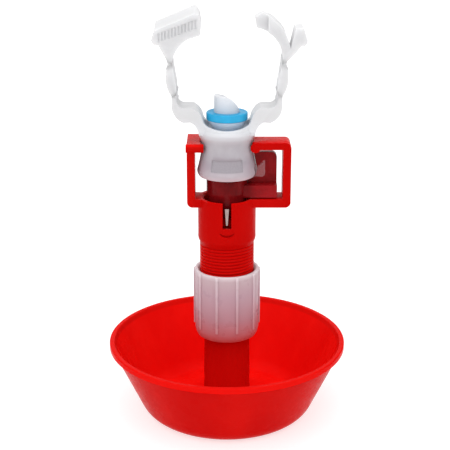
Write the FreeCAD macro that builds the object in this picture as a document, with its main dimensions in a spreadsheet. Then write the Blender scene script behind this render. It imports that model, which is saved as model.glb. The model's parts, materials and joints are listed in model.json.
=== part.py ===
"""Hanging cup drinker: pipe clip, nipple valve, hanger, level nut, column and bowl.

Millimetres. The origin is the centre of the bowl's base, +Z is up, -Y is the front, where the
tube's slot and the label panel are, and +X is the side of the valve lever.
"""
import FreeCAD, Part
import math
import os
import Sketcher

PARTS_FOLDER = "parts"
os.makedirs(PARTS_FOLDER, exist_ok=True)

# Driving dimensions. Every height is measured from the surface the bowl stands on.
DIMENSIONS = {
    # bowl
    "bowl_rim_radius": 44.0, "bowl_height": 28.6, "bowl_base_radius": 30.35, "bowl_wall": 1.75,
    "bowl_floor": 2.5, "bowl_lip_height": 2.2, "bowl_lip_overhang": 0.25, "bowl_base_round": 8.5,
    "bowl_inner_round": 6.5, "spigot_radius": 5.5, "spigot_top": 8.0, "edge_round": 0.4,
    # column
    "column_foot_radius": 8.8, "column_radius": 8.35, "column_shoulder": 34.8, "stem_radius": 5.2,
    "stem_top": 67.0, "stem_bore_radius": 2.6, "stem_spigot_radius": 4.2, "stem_spigot_top": 71.0,
    "outlet_radius": 2.0, "outlet_height": 12.0, "head_radius": 8.1, "head_top": 73.2,
    "head_dish_radius": 7.0, "head_dish_floor": 71.8,
    # adjusting nut, its washer and the spring
    "nut_bottom": 31.0, "nut_taper_top": 34.7, "nut_top": 56.8, "nut_bottom_radius": 10.9,
    "nut_radius": 11.75, "nut_rib_radius": 12.3, "nut_rib_width": 0.9, "nut_rib_count": 10,
    "nut_bore_radius": 10.05, "nut_floor_bottom": 36.5, "nut_floor_top": 39.5,
    "nut_recess_radius": 8.9, "nut_stem_hole_radius": 5.6, "nut_countersink": 0.8,
    "washer_radius": 9.6, "washer_thickness": 1.0, "spring_radius": 6.9, "spring_wire": 1.1,
    "spring_turns": 8.0,
    # hanger: threaded neck, slotted tube and frame
    "neck_bottom": 44.0, "neck_top": 67.5, "neck_radius": 9.9, "thread_pitch": 1.2,
    "thread_depth": 0.5, "tube_radius": 10.5, "tube_shoulder": 70.0, "tube_top": 84.0,
    "tube_bore_radius": 8.4, "mouth_chamfer": 0.5, "slot_width": 3.1, "slot_bottom": 74.5,
    "notch_top": 73.2, "notch_bottom": 71.4, "notch_half_width": 2.7, "notch_depth": 1.0,
    "frame_left": 14.3, "frame_right": 22.8, "frame_bottom": 81.2, "frame_top": 105.0,
    "frame_bar": 2.9, "frame_half_depth": 5.0, "frame_corner": 2.0, "arm_top": 104.5,
    "arm_thickness": 2.1, "arm_inner": 8.3, "arm_back": 11.0, "boss_radius": 1.75,
    "boss_x": 10.1, "boss_height": 103.2, "boss_back": 1.5, "nose_radius": 1.5,
    "nose_right": 8.3, "nose_left": 14.6, "hook_radius": 9.7,
    # valve body and what it holds
    "valve_bottom": 80.8, "valve_tip_radius": 5.6, "valve_lower_radius": 6.9,
    "valve_radius": 7.4, "valve_bore_radius": 7.5, "valve_collar": 86.5, "valve_top": 104.5,
    "valve_stem_radius": 7.2, "valve_step": 91.5, "chamber_radius": 2.9, "chamber_bottom": 87.7,
    "ball_chamber_radius": 3.4, "ball_ledge": 93.0, "pin_hole_radius": 1.35,
    "pin_flare_radius": 2.7, "lever_right": 17.9, "lever_bottom": 84.8, "lever_block_top": 89.3,
    "lever_half_depth": 4.4, "flag_front": 0.5, "flag_back": 3.2, "flag_top": 100.4,
    "flag_corner": 1.9, "seal_height": 0.8, "seat_height": 2.0, "seat_hole_radius": 1.35,
    "ball_seat_height": 2.0, "ball_seat_hole_radius": 1.5, "ball_radius": 2.2,
    "o_ring_height": 99.0, "o_ring_wire": 1.2, "pin_radius": 0.9, "pin_flange_radius": 2.2,
    "pin_flange_height": 1.0, "pin_rock_gap": 0.24, "pin_taper_top": 81.0, "pin_tip": 74.7,
    "pin_tip_radius": 0.3,
    # socket, spout and seal ring
    "socket_bottom": 92.2, "socket_lip_radius": 9.9, "flare_radius": 10.7, "flare_height": 94.2,
    "waist_radius": 9.0, "waist_height": 102.6, "rim_radius": 10.1, "rim_height": 108.3,
    "cup_radius": 9.3, "cup_bore_radius": 8.2, "saddle_floor": 110.15,
    "saddle_half_floor": 6.4, "saddle_half_width": 11.8, "cheek_top": 117.6,
    "recess_floor": 108.6, "recess_floor_radius": 5.2, "socket_floor_bottom": 105.5, "panel_angle": 68.0,
    "panel_bottom": 95.4, "panel_top": 99.7, "panel_low_radius": 10.0,
    "panel_high_radius": 9.15, "tab_right": 13.6, "tab_top": 98.2, "tab_front": 3.6,
    "tab_back": 2.6, "tab_step": 0.85, "flag_gap": 0.3, "spout_radius": 4.6,
    "spout_bore_radius": 2.2, "spout_bottom": 105.0, "spout_top": 121.3,
    "spout_low_side": 114.9, "chisel_turn": 32.0, "hub_radius": 7.0, "hub_top": 112.55,
    "ring_radius": 7.35, "ring_bottom": 112.6, "ring_top": 115.3, "filter_radius": 3.2,
    "filter_thickness": 1.0, "filter_hole_radius": 0.45, "filter_hole_circle": 1.9,
    # pipe clip
    "clip_half_width": 5.5, "hinge_gap": 0.05, "lower_hinge_x": 18.95, "lower_hinge_height": 121.5,
    "upper_hinge_x": 19.15, "upper_hinge_height": 133.0, "tongue_half_width": 3.0,
    "mouth_half_width": 3.5, "tooth_pitch": 1.15, "tooth_width": 0.6, "tooth_depth": 0.45,
    "tooth_height": 3.0, "tooth_count": 12, "tooth_rise": 0.42,
    # fits
    "press_clearance": 0.02, "running_clearance": 0.05,
}

doc = FreeCAD.newDocument("hanging_cup_drinker")
sheet = doc.addObject("Spreadsheet::Sheet", "Dims")


class Size:
    """A length that carries both its value and the spreadsheet expression it comes from."""

    def __init__(self, value, text):
        self.value = value
        self.text = text

    def joined(self, other, sign, value):
        other_text = other.text if isinstance(other, Size) else repr(float(other))
        return Size(value, f"({self.text} {sign} {other_text})")

    def __add__(self, other):
        return self.joined(other, "+", self.value + number(other))

    def __sub__(self, other):
        return self.joined(other, "-", self.value - number(other))

    def __mul__(self, other):
        return self.joined(other, "*", self.value * number(other))

    def __truediv__(self, other):
        return self.joined(other, "/", self.value / number(other))

    def __neg__(self):
        return Size(-self.value, f"(0 - {self.text})")


def number(size):
    """The plain value of a Size or of a number."""
    return size.value if isinstance(size, Size) else float(size)


def fill_sheet():
    """Write each driving dimension into its own named cell and return them as Sizes."""
    sizes = {}
    for row, (name, value) in enumerate(DIMENSIONS.items(), start=1):
        sheet.set(f"A{row}", name)
        sheet.set(f"B{row}", str(value))
        sheet.setAlias(f"B{row}", name)
        sizes[name] = Size(value, f"{sheet.Name}.{name}")
    doc.recompute()
    return sizes


D = fill_sheet()
ZERO = Size(0.0, "0")
FULL_TURN = Size(360.0, "360")


def new_body(label):
    """One sub-part; its Label names its file."""
    body = doc.addObject("PartDesign::Body", label)
    body.Label = label
    body.Placement = FreeCAD.Placement()
    return body


def origin_plane(body, role):
    """The body's own origin plane with this role, such as XZ_Plane."""
    return next(item for item in body.Origin.OriginFeatures if item.Role == role)


def new_sketch(body, role="XZ_Plane", offset=ZERO):
    """An empty sketch on an origin plane, moved along the plane's normal by offset."""
    sketch = body.newObject("Sketcher::SketchObject", f"{body.Label}_sketch")
    sketch.AttachmentSupport = [(origin_plane(body, role), "")]
    sketch.MapMode = "FlatFace"
    sketch.AttachmentOffset = FreeCAD.Placement(
        FreeCAD.Vector(0, 0, number(offset)), FreeCAD.Rotation())
    sketch.setExpression("AttachmentOffset.Base.z", offset.text)
    return sketch


def pin_coordinate(sketch, kind, axis, geometry, end, size):
    """Hold one coordinate of a sketch point at a bound distance from the sketch's origin."""
    if abs(number(size)) < 1e-9:
        sketch.addConstraint(Sketcher.Constraint("PointOnObject", geometry, end, axis))
        return
    index = sketch.addConstraint(
        Sketcher.Constraint(kind, -1, 1, geometry, end, number(size)))
    if isinstance(size, Size):
        sketch.setExpression(f"Constraints[{index}]", size.text)


def outline(sketch, *points):
    """Closed outline. A point is (x, y); ("arc", x, y) is the middle of an arc between points."""
    corners = []
    middles = {}
    for point in points:
        if point[0] == "arc":
            middles[len(corners) - 1] = FreeCAD.Vector(number(point[1]), number(point[2]), 0)
        else:
            corners.append(point)
    places = [FreeCAD.Vector(number(x), number(y), 0) for x, y in corners]
    first_ends = []
    for index, place in enumerate(places):
        after = places[(index + 1) % len(places)]
        if index in middles:
            edge = Part.Arc(place, middles[index], after)
        else:
            edge = Part.LineSegment(place, after)
        geometry = sketch.addGeometry(edge)
        starts_here = (sketch.getPoint(geometry, 1) - place).Length < 1e-6
        first_ends.append((geometry, 1 if starts_here else 2))
    for index, (geometry, end) in enumerate(first_ends):
        after_geometry, after_end = first_ends[(index + 1) % len(first_ends)]
        sketch.addConstraint(
            Sketcher.Constraint("Coincident", geometry, 3 - end, after_geometry, after_end))
    for (geometry, end), (x, y) in zip(first_ends, corners):
        pin_coordinate(sketch, "DistanceX", -2, geometry, end, x)
        pin_coordinate(sketch, "DistanceY", -1, geometry, end, y)
    for index in middles:
        geometry = first_ends[index][0]
        radius = sketch.Geometry[geometry].Radius
        sketch.addConstraint(Sketcher.Constraint("Radius", geometry, radius))
    return sketch


def circle(sketch, x, y, radius):
    """A circle with its centre and radius bound to the sheet."""
    centre = FreeCAD.Vector(number(x), number(y), 0)
    geometry = sketch.addGeometry(
        Part.Circle(centre, FreeCAD.Vector(0, 0, 1), number(radius)))
    index = sketch.addConstraint(Sketcher.Constraint("Radius", geometry, number(radius)))
    if isinstance(radius, Size):
        sketch.setExpression(f"Constraints[{index}]", radius.text)
    pin_coordinate(sketch, "DistanceX", -2, geometry, 3, x)
    pin_coordinate(sketch, "DistanceY", -1, geometry, 3, y)
    return sketch


def turn_sketch(body, kind, sketch, angle):
    """Revolution or Groove of a sketch round Z; less than a full turn is centred on the sketch."""
    feature = body.newObject(f"PartDesign::{kind}", f"{body.Label}_{kind}")
    feature.Profile = sketch
    feature.ReferenceAxis = (sketch, ["V_Axis"])
    feature.Midplane = number(angle) < 360.0
    feature.Angle = number(angle)
    feature.setExpression("Angle", angle.text)
    doc.recompute()
    return feature


def turn(body, kind, *points):
    """Full Revolution or Groove of an outline in the XZ plane, given as (radius, height) points."""
    return turn_sketch(body, kind, outline(new_sketch(body), *points), FULL_TURN)


def extrude(body, kind, sketch, length, midplane=False, reverse=False):
    """Pad or Pocket of a sketch by a bound length."""
    feature = body.newObject(f"PartDesign::{kind}", f"{body.Label}_{kind}")
    feature.Profile = sketch
    if midplane:
        feature.SideType = "Symmetric"
    feature.Reversed = reverse
    feature.Length = number(length)
    feature.setExpression("Length", length.text)
    doc.recompute()
    return feature


def round_edges(body, radius, chosen, kind="Fillet"):
    """Fillet or Chamfer every edge of the body's tip for which chosen(edge) is true."""
    tip = body.Tip
    names = [f"Edge{i}" for i, edge in enumerate(tip.Shape.Edges, start=1) if chosen(edge)]
    feature = body.newObject(f"PartDesign::{kind}", f"{body.Label}_{kind}")
    feature.Base = (tip, names)
    prop = "Radius" if kind == "Fillet" else "Size"
    setattr(feature, prop, number(radius))
    feature.setExpression(prop, radius.text)
    doc.recompute()
    return feature


def ring_edge(radius, height):
    """A test for the full circle of this radius at this height round the Z axis."""
    def chosen(edge):
        return (isinstance(edge.Curve, Part.Circle)
                and abs(edge.Curve.Radius - number(radius)) < 1e-4
                and abs(edge.Curve.Center.z - number(height)) < 1e-4)
    return chosen


def cross_edge(x, height):
    """A test for an edge that runs along Y through this x and height."""
    def chosen(edge):
        ends = [vertex.Point for vertex in edge.Vertexes]
        return (len(ends) == 2
                and all(abs(end.x - number(x)) < 1e-4 for end in ends)
                and all(abs(end.z - number(height)) < 1e-4 for end in ends))
    return chosen


def rectangle(sketch, x_low, x_high, y_low, y_high):
    """Four-sided outline."""
    return outline(sketch, (x_low, y_low), (x_high, y_low), (x_high, y_high), (x_low, y_high))


def polar(body, feature, count):
    """Repeat a feature all round the Z axis."""
    pattern = body.newObject("PartDesign::PolarPattern", f"{body.Label}_pattern")
    pattern.Originals = [feature]
    pattern.Axis = (next(item for item in body.Origin.OriginFeatures if item.Role == "Z_Axis"), [""])
    pattern.Angle = 360.0
    pattern.Occurrences = int(number(count))
    body.Tip = pattern
    doc.recompute()
    return pattern


# ---------------------------------------------------------------- bowl and column


def make_bowl():
    """Conical bowl with a thickened lip and a spigot that the column is pushed on."""
    body = new_body("bowl")
    slope = (D["bowl_rim_radius"] - D["bowl_lip_overhang"] - D["bowl_base_radius"]) / D["bowl_height"]
    lip_bottom = D["bowl_height"] - D["bowl_lip_height"]
    under_lip = D["bowl_base_radius"] + slope * lip_bottom
    inner_base = D["bowl_base_radius"] - D["bowl_wall"] + slope * D["bowl_floor"]
    turn(body, "Revolution",
         (ZERO, ZERO),
         (D["bowl_base_radius"], ZERO),
         (under_lip, lip_bottom),
         (D["bowl_rim_radius"], lip_bottom + D["bowl_lip_overhang"]),
         (D["bowl_rim_radius"], D["bowl_height"]),
         (D["bowl_rim_radius"] - D["bowl_wall"], D["bowl_height"]),
         (inner_base, D["bowl_floor"]),
         (D["spigot_radius"], D["bowl_floor"]),
         (D["spigot_radius"], D["spigot_top"]),
         (ZERO, D["spigot_top"]))
    round_edges(body, D["bowl_base_round"], ring_edge(D["bowl_base_radius"], ZERO))
    round_edges(body, D["bowl_inner_round"], ring_edge(inner_base, D["bowl_floor"]))
    round_edges(body, D["edge_round"], ring_edge(D["bowl_rim_radius"], D["bowl_height"]))
    round_edges(body, D["edge_round"],
                ring_edge(D["bowl_rim_radius"] - D["bowl_wall"], D["bowl_height"]))
    return body


def make_column():
    """Hollow column and stem in one piece; water leaves by three holes near its foot."""
    body = new_body("column")
    foot_bore = D["spigot_radius"] + D["press_clearance"]
    turn(body, "Revolution",
         (foot_bore, D["bowl_floor"]),
         (D["column_foot_radius"], D["bowl_floor"]),
         (D["column_radius"], D["column_shoulder"]),
         (D["stem_radius"], D["column_shoulder"]),
         (D["stem_radius"], D["stem_top"]),
         (D["stem_spigot_radius"], D["stem_top"]),
         (D["stem_spigot_radius"], D["stem_spigot_top"]),
         (D["stem_bore_radius"], D["stem_spigot_top"]),
         (D["stem_bore_radius"], D["spigot_top"] + D["running_clearance"]),
         (foot_bore, D["spigot_top"] + D["running_clearance"]))
    back = circle(new_sketch(body), ZERO, D["outlet_height"], D["outlet_radius"])
    extrude(body, "Pocket", back, D["column_foot_radius"] * 2.0)
    sides = circle(new_sketch(body, "YZ_Plane"), ZERO, D["outlet_height"], D["outlet_radius"])
    extrude(body, "Pocket", sides, D["column_foot_radius"] * 3.0, midplane=True)
    round_edges(body, D["edge_round"], ring_edge(D["column_radius"], D["column_shoulder"]))
    return body


def make_column_head():
    """Dished head on the stem; it lifts the trigger pin and carries the spring's top."""
    body = new_body("column_head")
    hole = D["stem_spigot_radius"] + D["press_clearance"]
    turn(body, "Revolution",
         (hole, D["stem_top"]),
         (D["head_radius"], D["stem_top"]),
         (D["head_radius"], D["head_top"]),
         (D["head_dish_radius"], D["head_top"]),
         (D["stem_bore_radius"], D["head_dish_floor"]),
         (D["stem_bore_radius"], D["stem_spigot_top"] + D["running_clearance"]),
         (hole, D["stem_spigot_top"] + D["running_clearance"]))
    return body


# ---------------------------------------------------------------- nut and spring


def make_nut():
    """Ribbed nut: smooth running bore, floor for the spring washer, recess for the column."""
    body = new_body("adjusting_nut")
    countersunk = D["nut_bore_radius"] + D["nut_countersink"]
    turn(body, "Revolution",
         (D["nut_recess_radius"], D["nut_bottom"]),
         (D["nut_bottom_radius"], D["nut_bottom"]),
         ("arc", D["nut_radius"] - 0.18, D["nut_bottom"] + 1.6),
         (D["nut_radius"], D["nut_taper_top"]),
         (D["nut_radius"], D["nut_top"]),
         (countersunk, D["nut_top"]),
         (D["nut_bore_radius"], D["nut_top"] - D["nut_countersink"]),
         (D["nut_bore_radius"], D["nut_floor_top"]),
         (D["nut_stem_hole_radius"], D["nut_floor_top"]),
         (D["nut_stem_hole_radius"], D["nut_floor_bottom"]),
         (D["nut_recess_radius"], D["nut_floor_bottom"]))
    rib = rectangle(new_sketch(body, "XY_Plane", D["nut_taper_top"]),
                    D["nut_radius"] - 0.5, D["nut_rib_radius"],
                    -D["nut_rib_width"] / 2.0, D["nut_rib_width"] / 2.0)
    raised = extrude(body, "Pad", rib, D["nut_top"] - D["nut_taper_top"])
    polar(body, raised, D["nut_rib_count"])
    return body


def make_spring_washer():
    """Flat washer between the nut's floor and the spring."""
    body = new_body("spring_washer")
    top = D["nut_floor_top"] + D["washer_thickness"]
    turn(body, "Revolution",
         (D["nut_stem_hole_radius"], D["nut_floor_top"]),
         (D["washer_radius"], D["nut_floor_top"]),
         (D["washer_radius"], top),
         (D["nut_stem_hole_radius"], top))
    return body


def make_level_spring():
    """Compression spring that carries column and bowl."""
    body = new_body("level_spring")
    wire = D["spring_wire"] / 2.0
    low = D["nut_floor_top"] + D["washer_thickness"] + wire + D["press_clearance"]
    high = D["stem_top"] - wire - D["press_clearance"]
    section = circle(new_sketch(body), D["spring_radius"], low, wire)
    coil = body.newObject("PartDesign::AdditiveHelix", "level_spring_coil")
    coil.Profile = section
    coil.ReferenceAxis = (section, ["V_Axis"])
    coil.Mode = "height-turns-angle"
    coil.Height = number(high - low)
    coil.setExpression("Height", (high - low).text)
    coil.Turns = number(D["spring_turns"])
    coil.setExpression("Turns", D["spring_turns"].text)
    doc.recompute()
    return body


# ---------------------------------------------------------------- hanger


def make_hanger():
    """Frame, slotted tube and threaded neck in one moulding."""
    body = new_body("hanger_frame")
    turn(body, "Revolution",
         (ZERO, D["neck_bottom"]),
         (D["neck_radius"], D["neck_bottom"]),
         (D["neck_radius"], D["neck_top"]),
         ("arc", D["tube_radius"] - 0.1, D["tube_shoulder"] - 1.5),
         (D["tube_radius"], D["tube_shoulder"]),
         (D["tube_radius"], D["tube_top"]),
         (ZERO, D["tube_top"]))
    bar = D["frame_bar"]
    loop = outline(
        new_sketch(body),
        (-D["frame_left"], D["frame_bottom"]),
        (D["frame_right"], D["frame_bottom"]),
        (D["frame_right"], D["frame_top"]),
        (D["boss_x"] - 1.0, D["frame_top"]),
        (D["boss_x"] - 1.0, D["frame_top"] - 2.5),
        (D["frame_right"] - bar, D["frame_top"] - 2.5),
        (D["frame_right"] - bar, D["frame_bottom"] + bar),
        (-D["frame_left"] + bar, D["frame_bottom"] + bar),
        (-D["frame_left"] + bar, D["arm_top"] - D["arm_thickness"]),
        (-D["arm_inner"], D["arm_top"] - D["arm_thickness"]),
        (-D["arm_inner"], D["arm_top"]),
        (-D["frame_left"], D["arm_top"]))
    extrude(body, "Pad", loop, D["frame_half_depth"] * 2.0, midplane=True)
    corners = ((-D["frame_left"], D["frame_bottom"]), (D["frame_right"], D["frame_bottom"]),
               (D["frame_right"], D["frame_top"]))
    tests = [cross_edge(x, height) for x, height in corners]
    round_edges(body, D["frame_corner"], lambda edge: any(test(edge) for test in tests))
    arm = rectangle(new_sketch(body, "XY_Plane", D["arm_top"] - D["arm_thickness"]),
                    -D["frame_left"], -D["arm_inner"], ZERO, D["arm_back"])
    extrude(body, "Pad", arm, D["arm_thickness"])
    boss = circle(new_sketch(body, "XZ_Plane", D["boss_back"]),
                  D["boss_x"], D["boss_height"], D["boss_radius"])
    extrude(body, "Pad", boss, D["frame_half_depth"] + 0.3 - D["boss_back"])
    nose = circle(new_sketch(body, "YZ_Plane", -D["nose_left"]),
                  -D["frame_half_depth"], D["boss_height"] - 0.1, D["nose_radius"])
    extrude(body, "Pad", nose, D["nose_left"] - D["nose_right"])
    turn(body, "Groove",
         (ZERO, D["neck_bottom"] - 1.0),
         (D["tube_bore_radius"], D["neck_bottom"] - 1.0),
         (D["tube_bore_radius"], D["tube_top"] - D["mouth_chamfer"]),
         (D["tube_bore_radius"] + D["mouth_chamfer"] * 2.0, D["frame_bottom"] + bar + 0.4),
         (ZERO, D["frame_bottom"] + bar + 0.4))
    turn(body, "Groove",
         (ZERO, D["arm_top"] - 6.0),
         (D["hook_radius"], D["arm_top"] - 6.0),
         (D["hook_radius"], D["frame_top"] + 1.0),
         (ZERO, D["frame_top"] + 1.0))
    slot = rectangle(new_sketch(body),
                     -D["slot_width"] / 2.0, D["slot_width"] / 2.0,
                     D["slot_bottom"], D["frame_bottom"] + bar + 0.4)
    extrude(body, "Pocket", slot, D["tube_radius"] + 1.0, reverse=True)
    crescent = outline(
        new_sketch(body, "XZ_Plane", D["tube_radius"] - D["notch_depth"]),
        (-D["notch_half_width"], D["notch_top"]),
        ("arc", ZERO, D["notch_bottom"]),
        (D["notch_half_width"], D["notch_top"]),
        ("arc", ZERO, D["notch_top"] - 0.7))
    extrude(body, "Pocket", crescent, D["notch_depth"] + 1.0, reverse=True)
    cut_thread(body)
    return body


def cut_thread(body):
    """Right-hand rounded thread on the neck."""
    depth = D["thread_depth"]
    half = D["thread_pitch"] * 0.36
    start = D["neck_bottom"] - D["thread_pitch"]
    section = outline(
        new_sketch(body),
        (D["neck_radius"] + 0.3, start - half),
        (D["neck_radius"] - depth, start - half * 0.3),
        (D["neck_radius"] - depth, start + half * 0.3),
        (D["neck_radius"] + 0.3, start + half))
    thread = body.newObject("PartDesign::SubtractiveHelix", "hanger_thread")
    thread.Profile = section
    thread.ReferenceAxis = (section, ["V_Axis"])
    thread.Mode = "pitch-height-angle"
    thread.Pitch = number(D["thread_pitch"])
    thread.setExpression("Pitch", D["thread_pitch"].text)
    height = D["neck_top"] - D["neck_bottom"] + D["thread_pitch"] * 0.6
    thread.Height = number(height)
    thread.setExpression("Height", height.text)
    doc.recompute()
    return thread


# ---------------------------------------------------------------- valve


def make_valve_body():
    """Valve housing with its lever block and upright flag."""
    body = new_body("valve_body")
    groove_low = D["o_ring_height"] - D["o_ring_wire"] / 2.0
    groove_high = D["o_ring_height"] + D["o_ring_wire"] / 2.0
    groove_radius = D["valve_stem_radius"] - D["o_ring_wire"] * 0.8
    turn(body, "Revolution",
         (ZERO, D["valve_bottom"]),
         (D["valve_tip_radius"], D["valve_bottom"]),
         ("arc", D["valve_tip_radius"] + 0.95, D["valve_bottom"] + 1.2),
         (D["valve_lower_radius"], D["tube_top"] + 0.3),
         (D["valve_radius"], D["valve_collar"]),
         (D["valve_radius"], D["valve_step"]),
         (D["valve_stem_radius"], D["valve_step"]),
         (D["valve_stem_radius"], groove_low),
         (groove_radius, groove_low),
         (groove_radius, groove_high),
         (D["valve_stem_radius"], groove_high),
         (D["valve_stem_radius"], D["valve_top"]),
         (ZERO, D["valve_top"]))
    block = rectangle(new_sketch(body, "XY_Plane", D["lever_bottom"]),
                      D["valve_lower_radius"] - 2.5, D["lever_right"],
                      -D["lever_half_depth"], D["lever_half_depth"])
    extrude(body, "Pad", block, D["lever_block_top"] - D["lever_bottom"])
    flag = rectangle(new_sketch(body, "XZ_Plane", -D["flag_back"]),
                     D["valve_bore_radius"], D["lever_right"],
                     D["lever_block_top"] - 1.0, D["flag_top"])
    extrude(body, "Pad", flag, D["flag_back"] - D["flag_front"])
    round_edges(body, D["flag_corner"], cross_edge(D["lever_right"], D["flag_top"]))
    gap = D["flag_gap"]
    turn(body, "Groove",
         (D["valve_bore_radius"], D["socket_bottom"] - gap),
         (D["socket_lip_radius"] + gap, D["socket_bottom"] - gap),
         (D["flare_radius"] + gap, D["flare_height"]),
         ("arc", D["waist_radius"] + gap + 0.62, D["flare_height"] + 4.6),
         (D["waist_radius"] + gap, D["waist_height"]),
         (D["valve_bore_radius"], D["waist_height"]))
    turn(body, "Groove",
         (ZERO, D["valve_bottom"] - 0.5),
         (D["pin_flare_radius"], D["valve_bottom"] - 0.5),
         (D["pin_hole_radius"], D["chamber_bottom"]),
         (D["chamber_radius"], D["chamber_bottom"]),
         (D["chamber_radius"], D["ball_ledge"]),
         (D["ball_chamber_radius"], D["ball_ledge"]),
         (D["ball_chamber_radius"], D["valve_top"] + 0.5),
         (ZERO, D["valve_top"] + 0.5))
    return body


def make_ring(label, inner, outer, bottom, top):
    """Plain ring with a rectangular section."""
    body = new_body(label)
    turn(body, "Revolution", (inner, bottom), (outer, bottom), (outer, top), (inner, top))
    return body


def make_valve_rings():
    """Seal and steel seat under the pin's flange, and the seat of the ball."""
    bore = D["chamber_radius"] - D["press_clearance"]
    seal_top = D["chamber_bottom"] + D["seal_height"]
    seat_top = seal_top + D["seat_height"]
    make_ring("seat_seal", D["seat_hole_radius"] + 0.1, bore, D["chamber_bottom"], seal_top)
    make_ring("valve_seat", D["seat_hole_radius"], bore, seal_top, seat_top)
    make_ring("ball_seat", D["ball_seat_hole_radius"],
              D["ball_chamber_radius"] - D["press_clearance"],
              D["ball_ledge"], D["ball_ledge"] + D["ball_seat_height"])


def make_valve_ball():
    """Steel ball that rests on the edge of its seat."""
    rise = math.sqrt(number(D["ball_radius"]) ** 2 - number(D["ball_seat_hole_radius"]) ** 2)
    ball = doc.addObject("Part::Sphere", "valve_ball")
    ball.Label = "valve_ball"
    ball.setExpression("Radius", D["ball_radius"].text)
    height = D["ball_ledge"] + D["ball_seat_height"] + rise + D["press_clearance"]
    ball.Placement = FreeCAD.Placement(
        FreeCAD.Vector(0, 0, number(height)), FreeCAD.Rotation())
    ball.setExpression("Placement.Base.z", height.text)
    doc.recompute()
    return ball


def make_o_ring():
    """Rubber ring in the valve body's groove, seen as it is squeezed by the socket's bore."""
    inner = D["valve_stem_radius"] - D["o_ring_wire"] * 0.8 + D["press_clearance"]
    half = D["o_ring_wire"] / 2.0 - D["press_clearance"]
    body = make_ring("body_o_ring", inner, D["valve_bore_radius"] - D["press_clearance"],
                     D["o_ring_height"] - half, D["o_ring_height"] + half)
    round_edges(body, D["o_ring_wire"] / 4.0, lambda edge: isinstance(edge.Curve, Part.Circle))
    return body


def make_trigger_pin():
    """Tapered pin; its flange closes the steel seat and its tip hangs in the tube."""
    body = new_body("trigger_pin")
    flange_bottom = D["chamber_bottom"] + D["seal_height"] + D["seat_height"]
    flange_bottom = flange_bottom + D["pin_rock_gap"]
    flange_top = flange_bottom + D["pin_flange_height"]
    turn(body, "Revolution",
         (ZERO, D["pin_tip"]),
         (D["pin_tip_radius"], D["pin_tip"]),
         (D["pin_radius"], D["pin_taper_top"]),
         (D["pin_radius"], flange_bottom),
         (D["pin_flange_radius"], flange_bottom),
         (D["pin_flange_radius"], flange_top),
         (ZERO, flange_top))
    return body


# ---------------------------------------------------------------- socket, spout, ring


def make_socket():
    """Bell-shaped socket with the clip's cheeks, a blank label panel and a stepped tab."""
    body = new_body("saddle_socket")
    turn(body, "Revolution",
         (ZERO, D["socket_bottom"]),
         (D["socket_lip_radius"], D["socket_bottom"]),
         ("arc", D["flare_radius"] - 0.28, D["socket_bottom"] + 0.75),
         (D["flare_radius"], D["flare_height"]),
         ("arc", D["waist_radius"] + 0.62, D["flare_height"] + 4.6),
         (D["waist_radius"], D["waist_height"]),
         ("arc", D["waist_radius"] + 0.22, D["waist_height"] + 2.4),
         (D["rim_radius"] - 0.1, D["waist_height"] + 4.2),
         (D["rim_radius"], D["rim_height"]),
         (D["cup_radius"], D["rim_height"] + 1.1),
         (D["cup_radius"], D["cheek_top"] - 1.0),
         (ZERO, D["cheek_top"] - 1.0))
    for side in (-1.0, 1.0):
        pad_cheek(body, side)
    tab = new_sketch(body, "XZ_Plane", D["tab_back"])
    step = D["tab_step"]
    low = D["socket_bottom"] + 0.2
    outline(tab,
            (D["waist_radius"] - 1.0, low),
            (D["tab_right"] - 1.2, low),
            ("arc", D["tab_right"] - 0.35, low + 0.35),
            (D["tab_right"], low + 1.2),
            (D["tab_right"], D["tab_top"]),
            (D["tab_right"] - step, D["tab_top"]),
            (D["tab_right"] - step, D["tab_top"] - step),
            (D["tab_right"] - step * 2.0, D["tab_top"] - step),
            (D["tab_right"] - step * 2.0, D["tab_top"] - step * 2.0),
            (D["tab_right"] - step * 3.0, D["tab_top"] - step * 2.0),
            (D["tab_right"] - step * 3.0, D["tab_top"] - step * 3.0),
            (D["waist_radius"] - 1.0, D["tab_top"] - step * 3.0))
    extrude(body, "Pad", tab, D["tab_front"] - D["tab_back"])
    turn(body, "Groove",
         (ZERO, D["socket_bottom"] - 1.0),
         (D["valve_bore_radius"], D["socket_bottom"] - 1.0),
         (D["valve_bore_radius"], D["socket_floor_bottom"]),
         (D["spout_radius"] + D["press_clearance"], D["socket_floor_bottom"]),
         (D["spout_radius"] + D["press_clearance"], D["recess_floor"]),
         (D["recess_floor_radius"], D["recess_floor"]),
         (D["cup_bore_radius"], D["recess_floor"] + 0.8),
         (D["cup_bore_radius"] + 0.3, D["cheek_top"] + 1.0),
         (ZERO, D["cheek_top"] + 1.0))
    saddle = outline(new_sketch(body), *saddle_points())
    extrude(body, "Pocket", saddle, D["saddle_half_width"] * 2.0, midplane=True)
    panel = outline(new_sketch(body, "YZ_Plane"),
                    (-D["flare_radius"] - 1.0, D["panel_bottom"]),
                    (-D["panel_low_radius"], D["panel_bottom"]),
                    (-D["panel_high_radius"], D["panel_top"]),
                    (-D["flare_radius"] - 1.0, D["panel_top"]))
    turn_sketch(body, "Groove", panel, D["panel_angle"])
    return body


def saddle_points():
    """Profile of the hollow between the cheeks: shallow floor, steep walls, rounded tops."""
    floor = D["saddle_floor"]
    top = D["cheek_top"]
    half_floor = D["saddle_half_floor"]
    half_width = D["saddle_half_width"]
    return [(-half_width, top + 3.0),
            (-half_width, top),
            ("arc", -half_width + 2.5, top - 2.3),
            (-half_floor - 2.1, floor + 3.25),
            ("arc", -half_floor - 1.35, floor + 1.6),
            (-half_floor, floor + 0.85),
            ("arc", ZERO, floor),
            (half_floor, floor + 0.85),
            ("arc", half_floor + 1.35, floor + 1.6),
            (half_floor + 2.1, floor + 3.25),
            ("arc", half_width - 2.5, top - 2.3),
            (half_width, top),
            (half_width, top + 3.0)]


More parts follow.
